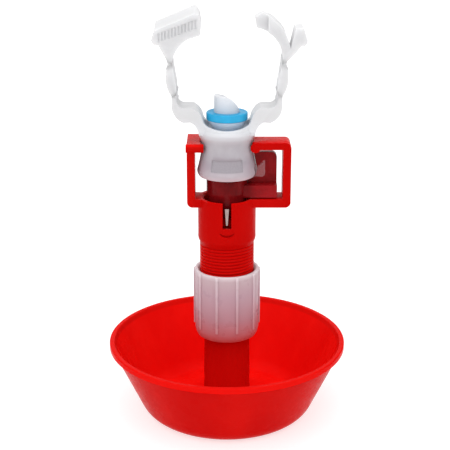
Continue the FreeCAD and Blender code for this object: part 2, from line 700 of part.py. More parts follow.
def pad_cheek(body, side):
    """One cheek: from the socket's shoulder out and up to the lower film hinge."""
    def point(x, height):
        return (x * side, height)

    hinge = D["lower_hinge_height"] - D["hinge_gap"]
    hinge_x = D["lower_hinge_x"]
    profile = outline(
        new_sketch(body),
        point(D["waist_radius"] - 2.0, D["rim_height"] - 1.2),
        point(D["rim_radius"] - 0.15, D["rim_height"] - 0.2),
        ("arc", *point(D["rim_radius"] + 0.95, D["rim_height"] + 2.8)),
        point(D["rim_radius"] + 2.7, D["rim_height"] + 4.25),
        point(hinge_x - 3.7, D["rim_height"] + 4.1),
        ("arc", *point(hinge_x - 0.75, D["rim_height"] + 6.5)),
        point(hinge_x + 0.35, D["rim_height"] + 9.7),
        point(hinge_x + 0.2, hinge),
        point(hinge_x, hinge),
        point(hinge_x - 1.4, hinge - 0.7),
        ("arc", *point(hinge_x - 2.0, hinge - 2.9)),
        point(hinge_x - 3.9, D["cheek_top"]),
        point(D["waist_radius"] - 2.0, D["cheek_top"]))
    extrude(body, "Pad", profile, D["clip_half_width"] * 2.0, midplane=True)


def make_inlet_spout():
    """Chisel-cut spout with a bowl-shaped hub that carries the seal ring."""
    body = new_body("inlet_spout")
    turn(body, "Revolution",
         (D["filter_radius"], D["spout_bottom"]),
         (D["spout_radius"], D["spout_bottom"]),
         (D["spout_radius"], D["recess_floor"] + 0.1),
         ("arc", D["hub_radius"] - 0.55, D["hub_top"] - 1.5),
         (D["hub_radius"], D["hub_top"]),
         (D["spout_radius"], D["hub_top"]),
         (D["spout_radius"], D["spout_top"]),
         (D["spout_bore_radius"], D["spout_top"]),
         (D["spout_bore_radius"], D["spout_bottom"] + D["filter_thickness"]),
         (D["filter_radius"], D["spout_bottom"] + D["filter_thickness"]))
    reach = D["spout_radius"] + 1.0
    sketch = new_sketch(body)
    sketch.AttachmentOffset = FreeCAD.Placement(
        FreeCAD.Vector(), FreeCAD.Rotation(FreeCAD.Vector(0, 1, 0), number(D["chisel_turn"])))
    sketch.setExpression("AttachmentOffset.Rotation.Angle", D["chisel_turn"].text)
    chisel = outline(
        sketch,
        (-D["spout_radius"] + 2.0, D["spout_top"] + 1.0),
        (-D["spout_radius"] + 2.0, D["spout_top"]),
        ("arc", D["spout_radius"] * 0.55, D["spout_top"] - 2.3),
        (D["spout_radius"], D["spout_low_side"]),
        (reach, D["spout_low_side"]),
        (reach, D["spout_top"] + 1.0))
    extrude(body, "Pocket", chisel, reach * 2.0, midplane=True)
    return body


def make_inlet_filter():
    """Strainer disc in the foot of the spout: six round holes on a circle."""
    body = new_body("inlet_filter")
    disc = circle(new_sketch(body, "XY_Plane", D["spout_bottom"] + D["press_clearance"]),
                  ZERO, ZERO, D["filter_radius"] - D["press_clearance"])
    extrude(body, "Pad", disc, D["filter_thickness"] - D["press_clearance"] * 2.0)
    hole = circle(new_sketch(body, "XY_Plane", D["spout_bottom"]),
                  D["filter_hole_circle"], ZERO, D["filter_hole_radius"])
    cut = extrude(body, "Pocket", hole, D["filter_thickness"] * 2.0, reverse=True)
    polar(body, cut, 6)
    return body


def make_seal_ring():
    """Rubber ring that seals the spout in the pipe's hole."""
    body = make_ring("seal_ring", D["spout_radius"] + D["press_clearance"], D["ring_radius"],
                     D["ring_bottom"], D["ring_top"])
    outer_edges = [ring_edge(D["ring_radius"], D["ring_bottom"]),
                   ring_edge(D["ring_radius"], D["ring_top"])]
    round_edges(body, D["edge_round"], lambda edge: any(test(edge) for test in outer_edges))
    return body


# ---------------------------------------------------------------- clip arms


def make_link(label, side):
    """Middle length of one clip arm, between its two film hinges."""
    def point(x, height):
        return (x * side, height)

    body = new_body(label)
    low = D["lower_hinge_height"] + D["hinge_gap"]
    high = D["upper_hinge_height"] - D["hinge_gap"]
    lower_x = D["lower_hinge_x"]
    upper_x = D["upper_hinge_x"]
    profile = outline(
        new_sketch(body),
        point(lower_x, low),
        point(lower_x + 0.2, low),
        ("arc", *point(upper_x + 2.15, low + 6.3)),
        point(upper_x + 1.5, high - 0.7),
        point(upper_x, high),
        point(upper_x - 0.2, high),
        ("arc", *point(upper_x - 1.0, high - 4.4)),
        point(lower_x - 1.4, low + 3.6),
        point(lower_x - 1.4, low + 0.7))
    extrude(body, "Pad", profile, D["clip_half_width"] * 2.0, midplane=True)
    return body


def make_left_jaw():
    """Jaw with the toothed block; a mouth in its end takes the tongue of the other jaw."""
    body = new_body("left_jaw")
    low = D["upper_hinge_height"] + D["hinge_gap"]
    hinge_x = -D["upper_hinge_x"]
    profile = outline(
        new_sketch(body),
        (hinge_x + 0.2, low),
        ("arc", hinge_x + 1.9, low + 5.1),
        (hinge_x + 6.0, low + 8.7),
        (hinge_x + 9.9, low + 9.9),
        (hinge_x + 10.3, low + 13.6),
        (hinge_x + 9.7, low + 17.0),
        (hinge_x + 8.2, low + 18.3),
        (hinge_x - 5.9, low + 12.4),
        (hinge_x - 6.9, low + 8.4),
        ("arc", hinge_x - 6.3, low + 7.0),
        (hinge_x - 4.5, low + 6.6),
        (hinge_x - 1.25, low + 0.55),
        (hinge_x, low))
    extrude(body, "Pad", profile, D["clip_half_width"] * 2.0, midplane=True)
    mouth = outline(
        new_sketch(body),
        (hinge_x + 6.2, low + 8.0),
        (hinge_x + 11.0, low + 9.0),
        (hinge_x + 11.0, low + 15.3),
        (hinge_x + 6.2, low + 13.8))
    extrude(body, "Pocket", mouth, D["mouth_half_width"] * 2.0, midplane=True)
    cut_teeth(body, hinge_x, low)
    return body


def cut_teeth(body, hinge_x, low):
    """Row of grip notches under the block's plain upper band, on its front and back faces."""
    for index in range(int(number(D["tooth_count"]))):
        left = hinge_x - 4.6 + D["tooth_pitch"] * float(index)
        bottom = low + 7.6 + D["tooth_rise"] * float(index)
        for side in (-1.0, 1.0):
            notch = rectangle(
                new_sketch(body, "XZ_Plane", D["clip_half_width"] * side),
                left, left + D["tooth_width"], bottom, bottom + D["tooth_height"])
            extrude(body, "Pocket", notch, D["tooth_depth"], reverse=(side < 0))


def make_right_jaw():
    """Forked jaw: an inner locking tongue and an outer release tab."""
    body = new_body("right_jaw")
    low = D["upper_hinge_height"] + D["hinge_gap"]
    hinge_x = D["upper_hinge_x"]
    profile = outline(
        new_sketch(body),
        (hinge_x, low),
        (hinge_x + 1.25, low + 0.55),
        (hinge_x + 4.4, low + 3.7),
        (hinge_x + 6.4, low + 6.3),
        ("arc", hinge_x + 8.2, low + 6.9),
        (hinge_x + 8.4, low + 8.6),
        (hinge_x + 7.2, low + 12.3),
        (hinge_x + 4.3, low + 12.3),
        (hinge_x + 2.8, low + 5.6),
        (hinge_x + 0.9, low + 10.9),
        ("arc", hinge_x - 3.0, low + 15.2),
        (hinge_x - 6.9, low + 17.3),
        (hinge_x - 9.6, low + 15.9),
        (hinge_x - 9.0, low + 12.2),
        ("arc", hinge_x - 3.6, low + 9.8),
        (hinge_x - 0.2, low))
    extrude(body, "Pad", profile, D["clip_half_width"] * 2.0, midplane=True)
    for side in (-1.0, 1.0):
        y_low = D["tongue_half_width"] if side > 0 else -D["clip_half_width"] - 1.0
        y_high = D["clip_half_width"] + 1.0 if side > 0 else -D["tongue_half_width"]
        trim = rectangle(new_sketch(body, "XY_Plane", low + 7.0),
                         hinge_x - 11.0, hinge_x - 5.0, y_low, y_high)
        extrude(body, "Pocket", trim, D["clip_half_width"] * 3.0, reverse=True)
    return body


# ---------------------------------------------------------------- build and write


def check_document(pieces):
    """Stop if any object failed or any sub-part has no valid shape."""
    for item in doc.Objects:
        faults = [word for word in item.State if word in ("Invalid", "Error")]
        if faults:
            raise RuntimeError(f"{item.Label}: {faults}")
    for piece in pieces:
        if piece.Shape.isNull() or not piece.Shape.isValid() or piece.Shape.Volume <= 0:
            raise RuntimeError(f"{piece.Label}: no valid shape")


def main():
    make_bowl()
    make_column()
    make_column_head()
    make_nut()
    make_spring_washer()
    make_level_spring()
    make_hanger()
    make_valve_body()
    make_valve_rings()
    make_valve_ball()
    make_o_ring()
    make_trigger_pin()
    make_socket()
    make_inlet_spout()
    make_inlet_filter()
    make_seal_ring()
    make_link("left_link", -1.0)
    make_link("right_link", 1.0)
    make_left_jaw()
    make_right_jaw()
    doc.recompute()
    pieces = [item for item in doc.Objects if item.TypeId in ("PartDesign::Body", "Part::Sphere")]
    check_document(pieces)
    for piece in pieces:
        piece.Shape.exportStep(os.path.join(PARTS_FOLDER, f"{piece.Label}.step"))
        print(f"{piece.Label}: {piece.Shape.Volume:.1f} mm3, {len(piece.Shape.Solids)} solid")


main()
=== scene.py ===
"""Looks of the hanging cup drinker: moulded plastic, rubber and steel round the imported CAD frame.

Metres, in the CAD model's own frame: +Z up, -Y towards the tube's slot, +X towards the valve lever.
"""

import json
import math

import bmesh
import bpy
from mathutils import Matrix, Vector

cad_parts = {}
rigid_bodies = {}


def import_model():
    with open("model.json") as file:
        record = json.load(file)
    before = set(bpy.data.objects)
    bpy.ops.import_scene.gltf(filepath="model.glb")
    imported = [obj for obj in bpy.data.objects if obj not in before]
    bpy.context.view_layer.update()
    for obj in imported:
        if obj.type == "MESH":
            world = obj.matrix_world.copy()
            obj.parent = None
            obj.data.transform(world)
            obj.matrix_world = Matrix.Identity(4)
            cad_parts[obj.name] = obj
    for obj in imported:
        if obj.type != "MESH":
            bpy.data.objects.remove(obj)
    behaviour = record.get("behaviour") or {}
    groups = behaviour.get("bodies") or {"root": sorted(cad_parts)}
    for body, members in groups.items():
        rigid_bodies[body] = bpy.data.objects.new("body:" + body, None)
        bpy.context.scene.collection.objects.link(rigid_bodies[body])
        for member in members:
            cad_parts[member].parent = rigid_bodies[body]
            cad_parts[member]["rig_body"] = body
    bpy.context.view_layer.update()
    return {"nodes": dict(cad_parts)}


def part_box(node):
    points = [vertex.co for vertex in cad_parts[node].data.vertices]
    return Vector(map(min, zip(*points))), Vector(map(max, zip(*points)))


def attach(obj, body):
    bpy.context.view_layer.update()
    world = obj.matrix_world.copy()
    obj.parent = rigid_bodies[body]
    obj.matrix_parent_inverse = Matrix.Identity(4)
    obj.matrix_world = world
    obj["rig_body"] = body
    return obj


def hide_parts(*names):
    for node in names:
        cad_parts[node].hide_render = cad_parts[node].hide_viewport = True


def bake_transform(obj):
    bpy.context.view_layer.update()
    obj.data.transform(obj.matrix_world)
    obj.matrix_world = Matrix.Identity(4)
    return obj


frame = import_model()
NODES = frame["nodes"]
MM = 0.001


# ---------------------------------------------------------------- material helpers


class Shader:
    """A node material: one Principled BSDF and small helpers that add the nodes feeding it."""

    def __init__(self, name, roughness=0.4, **sockets):
        self.material = bpy.data.materials.new(name)
        self.material.use_nodes = True
        self.tree = self.material.node_tree
        self.surface = self.tree.nodes["Principled BSDF"]
        self.surface.inputs["Roughness"].default_value = roughness
        self.surface.inputs["Subsurface Radius"].default_value = (1.0, 1.0, 1.0)
        for socket, value in sockets.items():
            self.surface.inputs[socket.replace("_", " ")].default_value = value
        coordinates = self.add("ShaderNodeTexCoord")
        self.place = coordinates.outputs["Object"]
        self.normal = coordinates.outputs["Normal"]

    def add(self, kind, **values):
        node = self.tree.nodes.new(kind)
        for name, value in values.items():
            setattr(node, name, value)
        return node

    def link(self, output, target):
        self.tree.links.new(output, target)

    def stretched(self, scale):
        """Object coordinates stretched by a factor on each axis."""
        mapping = self.add("ShaderNodeMapping")
        mapping.inputs["Scale"].default_value = scale
        self.link(self.place, mapping.inputs["Vector"])
        return mapping.outputs["Vector"]

    def noise(self, scale, detail=3.0, where=None):
        node = self.add("ShaderNodeTexNoise")
        node.inputs["Scale"].default_value = scale
        node.inputs["Detail"].default_value = detail
        self.link(where or self.place, node.inputs["Vector"])
        return node.outputs["Fac"]

    def ranged(self, value, low, high, out_low, out_high):
        node = self.add("ShaderNodeMapRange")
        node.interpolation_type = "SMOOTHSTEP"
        for name, number in (("From Min", low), ("From Max", high),
                             ("To Min", out_low), ("To Max", out_high)):
            node.inputs[name].default_value = number
        self.link(value, node.inputs["Value"])
        return node.outputs["Result"]

    def mix(self, factor, first, second):
        """Colour between first and second; each is a colour or another node's output."""
        node = self.add("ShaderNodeMix", data_type="RGBA")
        self.link(factor, node.inputs["Factor"])
        for socket, colour in ((node.inputs[6], first), (node.inputs[7], second)):
            if isinstance(colour, tuple):
                socket.default_value = (*colour, 1.0)
            else:
                self.link(colour, socket)
        return node.outputs[2]

    def ramp(self, value, stops):
        """Colour ramp through (position, colour) stops."""
        node = self.add("ShaderNodeValToRGB")
        elements = node.color_ramp.elements
        while len(elements) < len(stops):
            elements.new(0.5)
        for element, (position, colour) in zip(elements, stops):
            element.position = position
            element.color = (*colour, 1.0)
        self.link(value, node.inputs["Fac"])
        return node.outputs["Color"]

    def height(self, low, high):
        """0 at the low height and 1 at the high one, both in metres."""
        split = self.add("ShaderNodeSeparateXYZ")
        self.link(self.place, split.inputs["Vector"])
        node = self.add("ShaderNodeMapRange")
        node.inputs["From Min"].default_value = low
        node.inputs["From Max"].default_value = high
        self.link(split.outputs["Z"], node.inputs["Value"])
        return node.outputs["Result"]

    def inside(self, low, high, softness=0.00015):
        """1 inside the box from low to high, in metres, and 0 outside it."""
        split = self.add("ShaderNodeSeparateXYZ")
        self.link(self.place, split.inputs["Vector"])
        product = None
        for axis, start, end in zip("XYZ", low, high):
            rise = self.ranged(split.outputs[axis], start, start + softness, 0.0, 1.0)
            fall = self.ranged(split.outputs[axis], end - softness, end, 1.0, 0.0)
            for factor in (rise, fall):
                product = factor if product is None else self.times(product, factor)
        return product

    def times(self, first, second):
        """Product of an output and another output or a number."""
        node = self.add("ShaderNodeMath", operation="MULTIPLY")
        self.link(first, node.inputs[0])
        if isinstance(second, float):
            node.inputs[1].default_value = second
        else:
            self.link(second, node.inputs[1])
        return node.outputs["Value"]

    def radius(self):
        """Distance from the Z axis."""
        flat = self.stretched((1.0, 1.0, 0.0))
        node = self.add("ShaderNodeVectorMath", operation="LENGTH")
        self.link(flat, node.inputs[0])
        return node.outputs["Value"]

    def facing_up(self, low, high):
        """0 where the normal's height is below low and 1 where it is above high."""
        split = self.add("ShaderNodeSeparateXYZ")
        self.link(self.normal, split.inputs["Vector"])
        return self.ranged(split.outputs["Z"], low, high, 0.0, 1.0)

    def colour(self, output):
        self.link(output, self.surface.inputs["Base Color"])

    def roughness(self, low, high, scale):
        """Roughness that wanders between low and high."""
        self.link(self.ranged(self.noise(scale), 0.3, 0.7, low, high),
                  self.surface.inputs["Roughness"])

    def bump(self, layers):
        """Bump from (height output, distance in metres) layers, one on the other."""
        normal = None
        for output, distance in layers:
            node = self.add("ShaderNodeBump")
            node.inputs["Distance"].default_value = distance
            self.link(output, node.inputs["Height"])
            if normal is not None:
                self.link(normal, node.inputs["Normal"])
            normal = node.outputs["Normal"]
        self.link(normal, self.surface.inputs["Normal"])


def shaded(colour, factor):
    """The colour, made darker or lighter."""
    return tuple(min(1.0, channel * factor) for channel in colour)


# ---------------------------------------------------------------- materials

RED = (0.70, 0.003, 0.002)
RED_LIGHT = (0.78, 0.006, 0.004)
MAROON = (0.15, 0.0035, 0.005)
CLIP_WHITE = (0.655, 0.655, 0.665)
CLIP_SHADE = (0.60, 0.60, 0.61)
RING_BLUE = (0.003, 0.33, 0.60)
SPOUT_WHITE = (0.72, 0.735, 0.77)
STEEL = (0.66, 0.64, 0.61)
RUBBER = (0.03, 0.03, 0.032)

# Places where one piece changes its tint, in metres.
# The lever box is where the valve body is painted lighter, for the light through its thin lever.
LEVER_BOX = ((0.007, -0.01, 0.08), (0.03, 0.01, 0.11))
PANEL_BOX = ((-0.0057, -0.012, 0.0953), (0.0057, -0.006, 0.0998))
NUT_SKIN_RADIUS = 11.85 * MM
NUT_RIB_RADIUS = 12.25 * MM
# Height above which the bowl's rim band gets painted shade, and the factor of that shade.
BOWL_RIM_SHADE = (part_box("bowl")[1][2] - 1.4 * MM, 0.93)


def moulding_bump(shader, ripple=0.00002, grain=0.000004):
    """The slow sink and flow ripple of a moulded wall, and the fine grain of the mould."""
    ripple_noise = shader.noise(140.0, 2.0)
    grain_noise = shader.noise(5200.0, 2.0)
    shader.bump([(ripple_noise, ripple), (grain_noise, grain)])


def red_plastic(name, top_lit_factor, side_shade_factor, low, high, rim=None):
    """Glossy red plastic with painted light and shade; a factor below 1 is a deeper red.

    Faces whose upward slope is above high get the top factor, painted light on faces that look up,
    and those below low the side factor, painted shade on the sides.
    A rim of (height, factor) has its own painted shade, that factor of the light red, above that
    height in metres.
    """
    shader = Shader(name, Subsurface_Weight=0.12, Subsurface_Scale=0.0015,
                    Specular_IOR_Level=0.05, IOR=1.22)
    shader.surface.inputs["Subsurface Radius"].default_value = (1.0, 0.1, 0.08)
    streaks = shader.noise(55.0, 3.0, shader.stretched((1.0, 1.0, 0.25)))
    streak = shader.ranged(streaks, 0.35, 0.68, 0.0, 1.0)
    # Painted shade on faces that look sideways or down, painted light on faces that look up.
    side = shader.mix(streak, shaded(RED, side_shade_factor), shaded(RED_LIGHT, side_shade_factor))
    top = shader.mix(streak, shaded(RED, top_lit_factor), shaded(RED_LIGHT, top_lit_factor))
    colour = shader.mix(shader.facing_up(low, high), side, top)
    if rim:
        height, depth = rim
        # Painted shade on the band at the top of the rim.
        near_rim = shader.height(height - 0.6 * MM, height)
        colour = shader.mix(near_rim, colour, shaded(RED_LIGHT, depth))
    shader.colour(colour)
    shader.roughness(0.2, 0.34, 260.0)
    moulding_bump(shader)
    return shader.material


def maroon_plastic():
    """Dark red plastic of the valve body, painted lighter on its lever for the light that comes
    through the thin plastic.
    """
    shader = Shader("maroon_plastic", Subsurface_Weight=0.1, Subsurface_Scale=0.001,
                    Specular_IOR_Level=0.07)
    cloud = shader.ranged(shader.noise(180.0), 0.3, 0.7, 0.0, 1.0)
    body = shader.mix(cloud, shaded(MAROON, 0.75), shaded(MAROON, 1.2))
    # Painted light on the lever, for the light through its thin plastic.
    lever = shader.mix(cloud, shaded(MAROON, 1.5), shaded(MAROON, 2.0))
    on_lever = shader.inside(*LEVER_BOX, softness=4.0 * MM)
    shader.colour(shader.mix(on_lever, body, lever))
    shader.roughness(0.16, 0.3, 300.0)
    moulding_bump(shader)
    return shader.material


def white_plastic():
    """Milky plastic of the clip's arms, with painted light that makes faces that look up a little
    lighter.
    """
    shader = Shader("clip_plastic", Subsurface_Weight=0.85, Subsurface_Scale=0.005,
                    Specular_IOR_Level=0.1, IOR=1.3)
    cloud = shader.noise(120.0)
    side = shader.mix(shader.ranged(cloud, 0.35, 0.7, 0.0, 1.0), CLIP_WHITE, CLIP_SHADE)
    # Painted light: faces that look up are a little lighter than the rest.
    shader.colour(shader.mix(shader.facing_up(0.3, 0.9), side, shaded(CLIP_WHITE, 1.04)))
    shader.roughness(0.3, 0.46, 300.0)
    moulding_bump(shader, 0.00003)
    return shader.material


def socket_plastic():
    """White plastic, opaque here, with painted grey shade by height where the dark valve body
    stands behind the wall.
    """
    shader = Shader("socket_plastic", Subsurface_Weight=0.25, Subsurface_Scale=0.0015,
                    Specular_IOR_Level=0.3)
    # Painted shade by height, for the light that the dark valve body behind the wall takes away.
    tint = shader.ramp(shader.height(0.092, 0.114), [
        (0.0, (0.62, 0.50, 0.54)), (0.09, (0.43, 0.36, 0.40)), (0.3, (0.37, 0.33, 0.37)),
        (0.6, (0.43, 0.40, 0.43)), (0.72, (0.58, 0.57, 0.60)), (0.79, (0.70, 0.71, 0.74)),
        (1.0, CLIP_WHITE)])
    cloud = shader.ranged(shader.noise(150.0), 0.35, 0.7, 0.0, 0.25)
    body = shader.mix(cloud, tint, CLIP_SHADE)
    panel = shader.inside(*PANEL_BOX)
    grain = shader.noise(2200.0, 2.0)
    worn = shader.mix(grain, (0.31, 0.28, 0.31), (0.38, 0.35, 0.38))
    shader.colour(shader.mix(panel, body, worn))
    shader.roughness(0.28, 0.42, 300.0)
    shader.bump([(shader.noise(140.0, 2.0), 0.00003), (shader.times(panel, grain), 0.00003),
                 (shader.noise(5200.0, 2.0), 0.000004)])
    return shader.material


def tab_plastic():
    """The thin tab beside the socket, clear enough to show the lever behind it."""
    shader = Shader("tab_plastic", Alpha=0.14, Specular_IOR_Level=0.3)
    cloud = shader.noise(400.0)
    shader.colour(shader.mix(cloud, (0.50, 0.28, 0.30), (0.62, 0.38, 0.40)))
    shader.roughness(0.2, 0.35, 500.0)
    moulding_bump(shader, 0.00001)
    return shader.material


def nut_plastic():
    """Milky plastic over red parts, opaque here: painted redder by height towards the foot where
    the red parts show through, and painted lighter on the raised ribs.
    """
    shader = Shader("nut_plastic", Subsurface_Weight=0.3, Subsurface_Scale=0.0018,
                    Specular_IOR_Level=0.3)
    # Painted tint by height, for the red parts seen through the wall.
    tint = shader.ramp(shader.height(0.031, 0.0568), [
        (0.0, (0.54, 0.11, 0.11)), (0.12, (0.51, 0.16, 0.18)), (0.35, (0.46, 0.24, 0.28)),
        (0.7, (0.47, 0.31, 0.36)), (0.93, (0.51, 0.38, 0.41)), (1.0, (0.68, 0.60, 0.63))])
    # Painted lightness on the raised ribs.
    rib_light = shader.ranged(shader.radius(), NUT_SKIN_RADIUS, NUT_RIB_RADIUS, 0.0, 0.2)
    shader.colour(shader.mix(rib_light, tint, (0.86, 0.80, 0.84)))
    shader.roughness(0.26, 0.38, 280.0)
    moulding_bump(shader, 0.00002)
    return shader.material


def blue_rubber():
    """Soft blue rubber of the seal ring."""
    shader = Shader("blue_rubber", Subsurface_Weight=0.1, Subsurface_Scale=0.001)
    cloud = shader.noise(300.0)
    shader.colour(shader.mix(shader.ranged(cloud, 0.3, 0.7, 0.0, 1.0), RING_BLUE,
                             shaded(RING_BLUE, 1.12)))
    shader.roughness(0.38, 0.52, 500.0)
    moulding_bump(shader, 0.00001, 0.000006)
    return shader.material


def dark_rubber():
    """Black rubber of the two hidden seals."""
    shader = Shader("dark_rubber")
    cloud = shader.noise(700.0)
    shader.colour(shader.mix(cloud, shaded(RUBBER, 0.7), shaded(RUBBER, 1.5)))
    shader.roughness(0.5, 0.7, 900.0)
    moulding_bump(shader, 0.00001, 0.000008)
    return shader.material


def spout_plastic():
    """White plastic, opaque here, with a painted blue tint where it stands in and under the seal
    ring, for the ring's blue light and the cup's shade.
    """
    shader = Shader("spout_plastic", Subsurface_Weight=0.3, Subsurface_Scale=0.0015)
    # Painted blue light and shade from the seal ring, by height.
    tint = shader.ramp(shader.height(0.109, 0.1215), [
        (0.0, (0.50, 0.62, 0.76)), (0.28, (0.46, 0.58, 0.73)), (0.55, (0.52, 0.58, 0.66)),
        (1.0, SPOUT_WHITE)])
    cloud = shader.ranged(shader.noise(220.0), 0.35, 0.7, 0.0, 0.3)
    shader.colour(shader.mix(cloud, tint, CLIP_WHITE))
    shader.roughness(0.24, 0.38, 300.0)
    moulding_bump(shader)
    return shader.material


def turned_steel():
    """Bright steel with fine turning lines round the axis."""
    shader = Shader("turned_steel", Metallic=1.0)
    lines = shader.noise(9000.0, 2.0, shader.stretched((0.05, 0.05, 1.0)))
    shader.colour(shader.mix(lines, shaded(STEEL, 0.85), shaded(STEEL, 1.15)))
    shader.roughness(0.16, 0.3, 1200.0)
    shader.bump([(lines, 0.000004)])
    return shader.material


def plated_pin():
    """Pale plated steel of the trigger pin, with a faint painted glow that lights it up in the
    shade of the slot.
    """
    # Painted light: a faint glow, though the pin is no lamp.
    shader = Shader("plated_pin", Emission_Strength=0.34)
    shader.surface.inputs["Emission Color"].default_value = (1.0, 0.84, 0.78, 1.0)
    lines = shader.noise(6000.0, 2.0, shader.stretched((0.1, 0.1, 1.0)))
    shader.colour(shader.mix(lines, (0.80, 0.77, 0.75), (0.92, 0.89, 0.87)))
    shader.roughness(0.22, 0.36, 1200.0)
    shader.bump([(lines, 0.000003)])
    return shader.material


def floor_paper():
    """White paper that glows a little, so that the ground stays free of shadows."""
    shader = Shader("floor_paper", roughness=0.9)
    shader.surface.inputs["Specular IOR Level"].default_value = 0.1
    shader.surface.inputs["Emission Color"].default_value = (1.0, 1.0, 1.0, 1.0)
    shader.surface.inputs["Emission Strength"].default_value = 0.62
    shader.colour(shader.mix(shader.noise(40.0), (0.52, 0.52, 0.52), (0.55, 0.55, 0.55)))
    return shader.material


# ---------------------------------------------------------------- mesh helpers


def smooth(mesh, degrees=32.0):
    """Smooth shading with sharp edges kept above the angle."""
    mesh.shade_smooth()
    mesh.set_sharp_from_angle(angle=math.radians(degrees))


def new_piece(name, mesh, body, material):
    """A visible piece that rides on a CAD body."""
    piece = bpy.data.objects.new(name, mesh)
    bpy.context.scene.collection.objects.link(piece)
    mesh.materials.clear()
    mesh.materials.append(material)
    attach(piece, body)
    return piece


def tube_mesh(name, rings, material):
    """Closed mesh through rings of equally many points, with flat ends."""
    bm = bmesh.new()
    loops = [[bm.verts.new(point) for point in ring] for ring in rings]
    count = len(loops[0])
    for near, far in zip(loops, loops[1:]):
        for index in range(count):
            after = (index + 1) % count
            bm.faces.new((near[index], near[after], far[after], far[index]))
    bm.faces.new(loops[0])
    bm.faces.new(loops[-1])
    bmesh.ops.recalc_face_normals(bm, faces=bm.faces)
    mesh = bpy.data.meshes.new(name)
    bm.to_mesh(mesh)
    bm.free()
    mesh.materials.append(material)
    smooth(mesh, 50.0)
    return mesh


def bending_piece(name, mesh):
    """A visible piece, with its placement baked into its mesh."""
    piece = bpy.data.objects.new(name, mesh)
    bpy.context.scene.collection.objects.link(piece)
    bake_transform(piece)
    return piece


def rounded_copy(node, width, material, keep_sharp=None, flat_limit=0.6, reshape=None):
    """A copy of a CAD node with its sharp edges rounded, except where keep_sharp(point).

    Neighbouring faces within flat_limit degrees of each other are joined first, and then
    reshape, a function of the bmesh, may move vertices.
    """
    source = NODES[node]
    bm = bmesh.new()
    bm.from_mesh(source.data)
    bmesh.ops.remove_doubles(bm, verts=bm.verts, dist=0.000002)
    bmesh.ops.dissolve_limit(bm, angle_limit=math.radians(flat_limit),
                             verts=bm.verts, edges=bm.edges)
    if reshape:
        reshape(bm)
    weight = bm.edges.layers.float.new("bevel_weight_edge")
    for edge in bm.edges:
        middle = (edge.verts[0].co + edge.verts[1].co) / 2.0
        sharp = len(edge.link_faces) == 2 and edge.calc_face_angle() > math.radians(28.0)
        if sharp and not (keep_sharp and keep_sharp(middle)):
            edge[weight] = 1.0
    mesh = bpy.data.meshes.new(f"{node}_rounded")
    bm.to_mesh(mesh)
    bm.free()
    piece = bpy.data.objects.new(f"{node}_shell", mesh)
    bpy.context.scene.collection.objects.link(piece)
    bevel = piece.modifiers.new("round", "BEVEL")
    bevel.limit_method = "WEIGHT"
    bevel.width = width
    bevel.segments = 3
    bevel.use_clamp_overlap = True
    depsgraph = bpy.context.evaluated_depsgraph_get()
    finished = bpy.data.meshes.new_from_object(piece.evaluated_get(depsgraph))
    bpy.data.objects.remove(piece)
    smooth(finished)
    shell = new_piece(f"{node}_shell", finished, source["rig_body"], material)
    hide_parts(node)
    return shell


def finish_node(node, material):
    """Give a CAD node that stays visible its material and smooth shading."""
    mesh = NODES[node].data
    mesh.materials.clear()
    mesh.materials.append(material)
    smooth(mesh)


# ---------------------------------------------------------------- stage


def make_camera():
    """Camera in front of the drinker and above it, looking a little down."""
    data = bpy.data.cameras.new("camera")
    data.lens = 92.0
    data.sensor_width = 36.0
    data.clip_start = 0.01
    camera = bpy.data.objects.new("camera", data)
    camera.location = (-0.0007, -0.3987, 0.2049)
    camera.rotation_euler = (math.radians(71.7), 0.0, 0.0)
    bpy.context.scene.collection.objects.link(camera)
    bpy.context.scene.camera = camera


def aimed(name, data, place):
    """A light at a place, aimed at the middle of the drinker."""
    light = bpy.data.objects.new(name, data)
    light.location = place
    aim = Vector((0.0, 0.0, 0.07)) - Vector(place)
    light.rotation_euler = aim.to_track_quat("-Z", "Y").to_euler()
    bpy.context.scene.collection.objects.link(light)


def area_light(name, place, size, power):
    """A soft rectangular light of a size in metres and a power in watts."""
    data = bpy.data.lights.new(name, "AREA")
    data.shape = "RECTANGLE"
    data.size, data.size_y = size
    data.energy = power
    aimed(name, data, place)


def make_stage():
    """White floor that goes with the bowl, white surroundings and soft lights."""
    world = bpy.data.worlds.new("studio")
    world.use_nodes = True
    world.node_tree.nodes["Background"].inputs["Color"].default_value = (1.0, 1.0, 1.0, 1.0)
    world.node_tree.nodes["Background"].inputs["Strength"].default_value = 0.42
    bpy.context.scene.world = world
    bpy.context.scene.view_settings.view_transform = "Standard"
    half = 6.0
    corners = [(-half, -half, 0.0), (half, -half, 0.0), (half, half, 0.0), (-half, half, 0.0)]
    mesh = bpy.data.meshes.new("floor")
    mesh.from_pydata(corners, [], [(0, 1, 2, 3)])
    mesh.materials.append(floor_paper())
    floor = bpy.data.objects.new("floor", mesh)
    bpy.context.scene.collection.objects.link(floor)
    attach(floor, "cup")
    sky = bpy.data.lights.new("overhead", "SUN")
    sky.energy = 2.5
    sky.angle = math.radians(100.0)
    aimed("overhead", sky, (-0.1, -0.38, 1.0))
    area_light("front", (0.0, -0.8, 0.3), (0.2, 0.25), 0.12)
    area_light("side", (0.7, -0.2, 0.35), (0.25, 0.5), 0.3)
    area_light("back", (0.0, 1.2, 0.45), (1.4, 0.6), 2.0)


# ---------------------------------------------------------------- pieces

THREAD_TOP = 69.5 * MM
SPRING_RADIUS = 6.9 * MM
SPRING_WIRE_RADIUS = 0.55 * MM
SPRING_STEPS = 36
SPRING_WIRE_SIDES = 10
BLOCK_TOP_HEIGHT = 146.5 * MM
BLOCK_TOP_SLOPE = 0.17
PIN_TIP_HEIGHT = 75.5 * MM
PIN_TIP_DROP = 1.9 * MM


